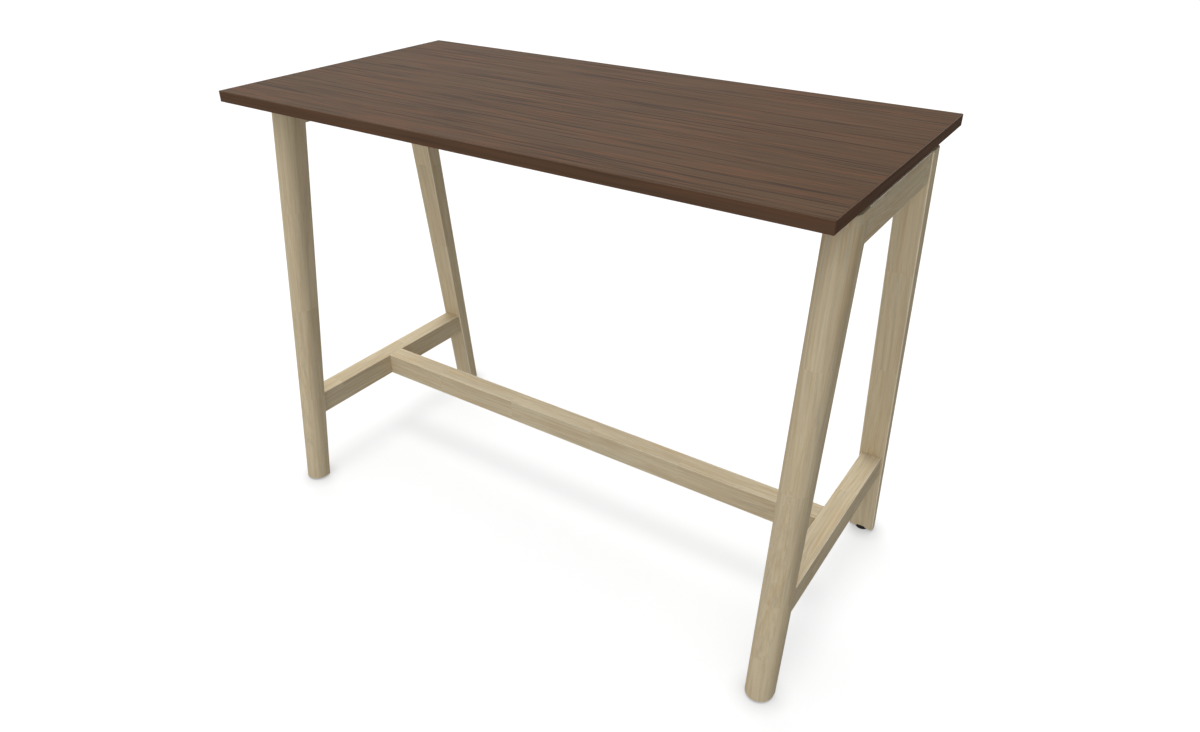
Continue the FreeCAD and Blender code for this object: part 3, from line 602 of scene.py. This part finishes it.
# crossbars, cut to the legs' lean, and the foot rail
crossbars = {
    "edgeRadius": 1.5 * mm, "sections": 17, "endEase": 0.6 * mm,
    "grain": {"top_crossbar_left": (5.0, 0.2, 0.4), "top_crossbar_right": (6.0, 0.5, 0.1),
              "foot_crossbar_left": (7.0, 0.1, 0.7), "foot_crossbar_right": (8.0, 0.3, 0.9)},
}
legLow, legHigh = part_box("leg_front_left")
legSlope = (legs["flatBottom"] - legs["flatTop"]) / (legHigh.z - legLow.z)
for node, shift in crossbars["grain"].items():
    low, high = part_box(node)
    halfTop = high.y - legSlope * (high.z - low.z)  # the lower arris is the longer one
    half = (high.x - low.x) / 2
    outline = roundedOutline(-half, half, low.z - high.z, 0, [crossbars["edgeRadius"]] * 4)
    piece = bar(pieceName(node), outline, paleBars, crossbars["endEase"], {
        "Low End": -halfTop, "High End": halfTop, "Low Cut": legSlope, "High Cut": -legSlope,
        "Sections": crossbars["sections"], "Origin": ((low.x + high.x) / 2, 0.0, high.z),
        "Across Axis": axisX, "Out Axis": axisZ, "Along Axis": axisY, "Grain Shift": shift})
    settle(piece, "table", "pale_wood", node)
    if node.startswith("foot"):
        lowPieces.append(piece)

footRail = {"edgeRadius": 1.5 * mm, "sections": 33, "endEase": 0.6 * mm, "grain": (9.0, 0.6, 1.2)}
low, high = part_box("foot_rail")
outline = roundedOutline(low.y, high.y, low.z - high.z, 0, [footRail["edgeRadius"]] * 4)
piece = bar("footRail", outline, paleBars, footRail["endEase"], {
    "Low End": low.x, "High End": high.x, "Sections": footRail["sections"], "Origin": (0.0, 0.0, high.z),
    "Across Axis": axisY, "Out Axis": axisZ, "Along Axis": axisX, "Grain Shift": footRail["grain"]})
settle(piece, "table", "pale_wood", "foot_rail")
lowPieces.append(piece)
print("crossbars and rail built")


# tabletop: laminate sheet and four edge bands with rounded outer arrises
# the long bands run past the end bands and round off there
tabletop = {"bandRadius": 1.0 * mm, "bandSteps": 6, "longBandEase": 0.9 * mm, "endBandEase": 0.05 * mm,
            "sheetArris": 0.15 * mm, "sheetSteps": 2, "sections": 29}
low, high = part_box("top_laminate")
arris = tabletop["sheetArris"]
outline = roundedOutline(low.y, high.y, low.z - high.z, 0, [0, 0, arris, arris], tabletop["sheetSteps"])
piece = bar("topLaminate", outline, walnutTop, arris, {
    "Low End": low.x, "High End": high.x, "Sections": tabletop["sections"], "Origin": (0.0, 0.0, high.z),
    "Across Axis": axisY, "Out Axis": axisZ, "Along Axis": axisX})
settle(piece, "table", "walnut_laminate", "top_laminate")
soft = tabletop["bandRadius"]
for place, side in enumerate(("front", "rear", "left", "right")):
    node = "edge_band_" + side
    low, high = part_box(node)
    radii = [soft, 0, 0, soft] if side in ("front", "left") else [0, soft, soft, 0]
    if side in ("front", "rear"):
        acrossSpan, alongSpan, acrossAxis, alongAxis = (low.y, high.y), (low.x, high.x), axisY, axisX
        look, ease = walnutEdge, tabletop["longBandEase"]
    else:
        acrossSpan, alongSpan, acrossAxis, alongAxis = (low.x, high.x), (low.y, high.y), axisX, axisY
        look, ease = walnutEndShaded, tabletop["endBandEase"]
    outline = roundedOutline(*acrossSpan, low.z - high.z, 0, radii, tabletop["bandSteps"])
    piece = bar(pieceName(node), outline, look, ease, {
        "Low End": alongSpan[0], "High End": alongSpan[1], "Sections": tabletop["sections"],
        "Origin": (0.0, 0.0, high.z), "Across Axis": acrossAxis, "Out Axis": axisZ,
        "Along Axis": alongAxis, "Grain Shift": (float(place), 0.0, 0.0)})
    settle(piece, "table", "walnut_edge", node)
print("tabletop built")


# turned pieces: bolts, screws and levelling feet
# a profile row holds radius and height, and for some rows the marks hexed and threaded
def turnedMesh(name, profile, places):
    mesh = bpy.data.meshes.new(name)
    rows = [row if len(row) == 4 else (*row, 0, 0) for row in profile]
    spots = [(row[0], 0, row[1]) for row in rows] + [spot for spot, aim in places]
    mesh.from_pydata(spots, [(i, i + 1) for i in range(len(rows) - 1)], [])
    marks = {"place": [0.0] * len(rows) + [1.0] * len(places),
             "hexed": [float(row[2]) for row in rows] + [0.0] * len(places),
             "threaded": [float(row[3]) for row in rows] + [0.0] * len(places)}
    for key, values in marks.items():
        mesh.attributes.new(key, "FLOAT", "POINT").data.foreach_set("value", values)
    aims = [axisZ] * len(rows) + [aim for spot, aim in places]
    flatAims = [part for aim in aims for part in aim]
    mesh.attributes.new("aim", "FLOAT_VECTOR", "POINT").data.foreach_set("vector", flatAims)
    return mesh


def turned(name, profile, places, look, sides, depth=0.0, pitch=1.0):
    return shapeFrom(name, turnedMesh(name, profile, places), turnedParts,
                     {"Sides": sides, "Thread Depth": depth, "Pitch": pitch, "Finish": look})


roundShare = 0.3  # a rounding of two steps has its middle point at this share of its size from both faces


def shankRows(sizes, length):
    shank, tip = sizes["shank"] / 2, sizes["tip"]
    return [(0, -length), (shank - tip, -length), (shank, tip - length), (shank, 0)]


def keyRows(sizes):
    key, chamfer, rim = sizes["key"] / 2, sizes["keyChamfer"], sizes["headHeight"]
    keyFloor = rim - sizes["keyDepth"]
    return [(key + chamfer, rim, 1, 0), (key, rim - chamfer, 1, 0), (key, keyFloor, 1, 0),
            (0, keyFloor - sizes["keyPoint"])]


# socket cap bolts: head stands inwards from the end plate
beamBolts = {"head": 13 * mm, "headHeight": 8 * mm, "edge": 0.8 * mm, "key": 6 * mm, "keyDepth": 4 * mm,
             "keyChamfer": 0.35 * mm, "keyPoint": 0.9 * mm, "shank": 8 * mm, "tip": 0.8 * mm,
             "length": 25 * mm, "offset": 14 * mm, "plate": 5 * mm, "sides": 48}


def capBolt(sizes):
    head, rim, edge = sizes["head"] / 2, sizes["headHeight"], sizes["edge"]
    return [*shankRows(sizes, sizes["length"]), (head, 0), (head, rim - edge),
            (head - roundShare * edge, rim - roundShare * edge), (head - edge, rim), *keyRows(sizes)]


low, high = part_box("beam_bolts")
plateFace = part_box("beam_end_plates")[1].x - beamBolts["plate"]
beamLow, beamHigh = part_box("support_beam_rear")
boltHeight = (low.z + high.z) / 2
boltRow = (beamLow.y + beamHigh.y) / 2
places = [((end * plateFace, beam * boltRow + hole * beamBolts["offset"], boltHeight),
           (-float(end), 0.0, 0.0)) for end in (-1, 1) for beam in (-1, 1) for hole in (-1, 1)]
piece = turned("beamBolts", capBolt(beamBolts), places, zincPlate, beamBolts["sides"])
settle(piece, "table", "zinc_steel", "beam_bolts")

# pan head screws that hold the beams to the top
topScrews = {"head": 12 * mm, "headHeight": 4 * mm, "skirt": 1.4 * mm, "domeFullness": 0.6,
             "domeRises": (15, 30, 45, 60), "domeLand": 0.6 * mm, "key": 4 * mm, "keyDepth": 2.4 * mm,
             "keyChamfer": 0.3 * mm, "keyPoint": 0.5 * mm, "shank": 6 * mm, "tip": 0.8 * mm, "sides": 48,
             "alongBeam": (-1, -1 / 3, 1 / 3, 1)}


def panScrew(sizes, length):
    head, key, rim, skirt = sizes["head"] / 2, sizes["key"] / 2, sizes["headHeight"], sizes["skirt"]
    dome = []
    for rise in sizes["domeRises"]:
        radius = head * math.cos(math.radians(rise)) ** sizes["domeFullness"]
        if radius > key + sizes["domeLand"]:
            dome.append((radius, skirt + (rim - skirt) * math.sin(math.radians(rise))))
    return [*shankRows(sizes, length), (head, 0), (head, skirt), *dome, *keyRows(sizes)]


low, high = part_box("top_screws")
beamUnder = low.z + topScrews["headHeight"]
reach = high.x - topScrews["head"] / 2
places = [((reach * share, beam * boltRow, beamUnder), (0.0, 0.0, -1.0))
          for beam in (-1, 1) for share in topScrews["alongBeam"]]
piece = turned("topScrews", panScrew(topScrews, high.z - beamUnder), places, zincPlate, topScrews["sides"])
settle(piece, "table", "zinc_steel", "top_screws")
print("bolts and screws built")

# levelling feet: moulded pad on the floor, threaded stem that turns inside it
feet = {"padRadius": 17 * mm, "padTop": 8.6 * mm, "padChamfer": 0.8 * mm, "padSides": 64, "well": 7.4 * mm,
        "grooveOut": 4 * mm, "grooveIn": 7 * mm, "grooveDepth": 0.4 * mm, "play": 0.2 * mm,
        "stem": 8 * mm, "stemSides": 32, "flange": 12 * mm, "flangeLow": 1.4 * mm, "flangeHigh": 3.0 * mm,
        "flangeEdge": 0.3 * mm, "pitch": 1.25 * mm, "threadDepth": 0.65 * mm, "threadStart": 1.4 * mm,
        "threadRise": 0.3 * mm, "threadEnd": 0.6 * mm, "tipChamfer": 1.0 * mm, "rowsPerTurn": 6}


# moulded pad: a well round the insert above the stem's seat, and a shallow ring groove underneath
def padProfile(wellFloor, sizes):
    chamfer, play, groove = sizes["padChamfer"], sizes["play"], sizes["grooveDepth"]
    bore, seat = sizes["stem"] / 2 + play, sizes["flange"] / 2 + play
    radius, top, well = sizes["padRadius"], sizes["padTop"], sizes["well"]
    grooveOut, grooveIn = radius - sizes["grooveOut"], radius - sizes["grooveIn"]
    seatLow, seatHigh = sizes["flangeLow"] - play, sizes["flangeHigh"] + play
    middle = roundShare * chamfer
    return [(0, seatLow), (seat, seatLow), (seat, seatHigh), (bore, seatHigh), (bore, wellFloor),
            (well, wellFloor), (well, top), (radius - chamfer, top), (radius - middle, top - middle),
            (radius, top - chamfer), (radius, chamfer), (radius - middle, middle), (radius - chamfer, 0),
            (grooveOut, 0), (grooveOut - groove, groove), (grooveIn + groove, groove), (grooveIn, 0),
            (0, 0)]


def stemProfile(low, high, sizes):
    radius, flange, flangeHigh = sizes["stem"] / 2, sizes["flange"] / 2, sizes["flangeHigh"]
    edge, root = sizes["flangeEdge"], radius - sizes["threadDepth"]
    first, last = flangeHigh + sizes["threadStart"], high - sizes["threadEnd"]
    rows = [(0, low), (flange - edge, low), (flange, low + edge), (flange, flangeHigh - edge),
            (flange - edge, flangeHigh), (root, flangeHigh), (root, first - sizes["threadRise"])]
    count = round((last - first) / sizes["pitch"] * sizes["rowsPerTurn"])
    rows += [(radius, first + (last - first) * i / count, 0, 1) for i in range(count + 1)]
    return rows + [(radius - sizes["tipChamfer"], high), (0, high)]


for place in legs["grain"]:
    pad, stem = "foot_pad_" + place, "foot_stem_" + place
    low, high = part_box(pad)
    standing = [(((low.x + high.x) / 2, (low.y + high.y) / 2, 0.0), axisZ)]
    piece = turned(pieceName(pad), padProfile(high.z, feet), standing, mouldedBlack, feet["padSides"])
    settle(piece, "pad_" + place, "black_plastic", pad)
    lowPieces.append(piece)
    low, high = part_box(stem)
    piece = turned(pieceName(stem), stemProfile(low.z, high.z, feet), standing, zincPlate,
                   feet["stemSides"], feet["threadDepth"], feet["pitch"])
    settle(piece, "stem_" + place, "zinc_steel", stem)
print("feet built")


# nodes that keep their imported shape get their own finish
keptNodes = {
    "top_core": board, "top_backing": backing,
    "support_beam_front": powderCoat, "support_beam_rear": powderCoat, "beam_end_plates": powderCoat,
    "beam_inserts": zincPlate, "top_inserts": zincPlate, "foot_inserts": zincPlate,
    "rail_connecting_bolts": zincPlate, "rail_cam_locks": castMetal,
    "topbar_dowels": dowelWood, "footbar_dowels": dowelWood, "rail_dowels": dowelWood,
}
for node, look in keptNodes.items():
    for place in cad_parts[node].material_slots:
        place.material = look
print("kept nodes dressed")


# camera
camera = {"yaw": -33.620, "pitch": 30.461, "at": (1.077075, -1.523276, 1.508134),
          "pixelFocal": 883.6, "pixelWidth": 1200, "sensor": 36}
lens = bpy.data.cameras.new("photoCamera")
photoCamera = bpy.data.objects.new("photoCamera", lens)
scene.collection.objects.link(photoCamera)
yaw, pitch = math.radians(camera["yaw"]), math.radians(camera["pitch"])
ahead = Vector((math.sin(yaw) * math.cos(pitch), math.cos(yaw) * math.cos(pitch), -math.sin(pitch)))
photoCamera.location = camera["at"]
photoCamera.rotation_mode = "QUATERNION"
photoCamera.rotation_quaternion = ahead.to_track_quat("-Z", "Y")
lens.sensor_fit = "HORIZONTAL"
lens.sensor_width = camera["sensor"]
lens.lens = camera["sensor"] * camera["pixelFocal"] / camera["pixelWidth"]
scene.camera = photoCamera


# studio: soft sky made of a few broad lobes, white where the camera or a reflection sees it
def seenRays(tree):
    rays = put(tree, "ShaderNodeLightPath").outputs
    seen = calc(tree, "ADD", rays["Is Camera Ray"], rays["Is Glossy Ray"])
    return calc(tree, "MINIMUM", calc(tree, "ADD", seen, rays["Is Transmission Ray"]), 1.0)


# each lobe: turn from the front towards the right, height above the horizon, strength
sky = {"level": 0.85, "tight": 8.0, "lobes": (
    (16, 12, 1.78), (225, 12, 2.33), (270, 12, 0.80), (4, 42, 0.55), (180, 42, 0.80), (225, 42, 2.97),
    (0, 68, 1.38), (90, 80, 0.66), (180, 68, 0.16), (0, 90, 0.52))}
world = bpy.data.worlds.new("studio")
scene.world = world
world.use_nodes = True
tree = world.node_tree
toward = put(tree, "ShaderNodeTexCoord").outputs["Generated"]
total = 0.0
for turn, rise, strength in sky["lobes"]:
    turn, rise = math.radians(turn), math.radians(rise)
    aim = (math.sin(turn) * math.cos(rise), -math.cos(turn) * math.cos(rise), math.sin(rise))
    facing = put(tree, "ShaderNodeVectorMath", {0: toward, 1: aim}, operation="DOT_PRODUCT")
    lobe = calc(tree, "MAXIMUM", facing.outputs["Value"], 0.0)
    lobe = calc(tree, "POWER", lobe, sky["tight"])
    total = calc(tree, "ADD", calc(tree, "MULTIPLY", lobe, strength * sky["level"]), total)
seen = seenRays(tree)
strength = calc(tree, "ADD", calc(tree, "MULTIPLY", total, calc(tree, "SUBTRACT", 1.0, seen)), seen)
tree.nodes["Background"].inputs["Color"].default_value = (1, 1, 1, 1)
tree.links.new(strength, tree.nodes["Background"].inputs["Strength"])

# pale floor: a soft lamp overhead lights only the floor, so the low bars and feet keep their shadow on it
# the floor throws back more light in front of the table and less to the right of it
floorLook = {"bounce": 0.41, "pale": 0.25, "glow": 0.6, "size": 40.0, "drop": 0.5 * mm, "contact": 0.45,
             "contactReach": 45 * mm, "lamp": 2.64, "lampSpread": 28.0, "lampTilt": 2.4,
             "toRight": (0.45, 0.95, 1.03, 0.74), "toFront": (-1.0, -0.25, 1.35, 1.0)}
half = floorLook["size"] / 2
corners = ((-half, -half), (half, -half), (half, half), (-half, half))
mesh = bpy.data.meshes.new("floor")
mesh.from_pydata([(x, y, -floorLook["drop"]) for x, y in corners], [], [(0, 1, 2, 3)])
floor = bpy.data.objects.new("floor", mesh)
scene.collection.objects.link(floor)
paper = bpy.data.materials.new("paleFloor")
paper.use_nodes = True
tree = paper.node_tree
tree.nodes.remove(tree.nodes["Principled BSDF"])
spot = put(tree, "ShaderNodeTexCoord").outputs["Object"]
spot = put(tree, "ShaderNodeSeparateXYZ", {"Vector": spot}).outputs
uneven = calc(tree, "MULTIPLY", remap(tree, spot["X"], *floorLook["toRight"]),
              remap(tree, spot["Y"], *floorLook["toFront"]))
bounce = put(tree, "ShaderNodeEmission", {"Strength": calc(tree, "MULTIPLY", uneven, floorLook["bounce"])})
# the floor's glow and colour darken where a part stands within contactReach of it: a painted contact shade,
# worked out from the nearby parts
near = put(tree, "ShaderNodeAmbientOcclusion", {"Distance": floorLook["contactReach"]}).outputs["AO"]
clear = calc(tree, "MULTIPLY_ADD", near, floorLook["contact"], 1 - floorLook["contact"])
pale = put(tree, "ShaderNodeBsdfDiffuse", {"Color": calc(tree, "MULTIPLY", clear, floorLook["pale"])})
glow = put(tree, "ShaderNodeEmission", {"Strength": calc(tree, "MULTIPLY", clear, floorLook["glow"])})
lit = put(tree, "ShaderNodeAddShader", {0: pale.outputs[0], 1: glow.outputs[0]})
mixed = put(tree, "ShaderNodeMixShader", {0: seenRays(tree), 1: bounce.outputs[0], 2: lit.outputs[0]})
tree.links.new(mixed.outputs[0], tree.nodes["Material Output"].inputs["Surface"])
mesh.materials.append(paper)

lamp = bpy.data.lights.new("floorLamp", "SUN")
lamp.energy = floorLook["lamp"]
lamp.angle = math.radians(floorLook["lampSpread"])
floorLamp = bpy.data.objects.new("floorLamp", lamp)
floorLamp.rotation_euler = (math.radians(floorLook["lampTilt"]), 0, 0)
scene.collection.objects.link(floorLamp)
lights = bpy.data.collections.new("litByFloorLamp")
lights.objects.link(floor)
shades = bpy.data.collections.new("shadesFloorLamp")
for piece in lowPieces:
    shades.objects.link(piece)
floorLamp.light_linking.receiver_collection = lights
floorLamp.light_linking.blocker_collection = shades
print("studio built")
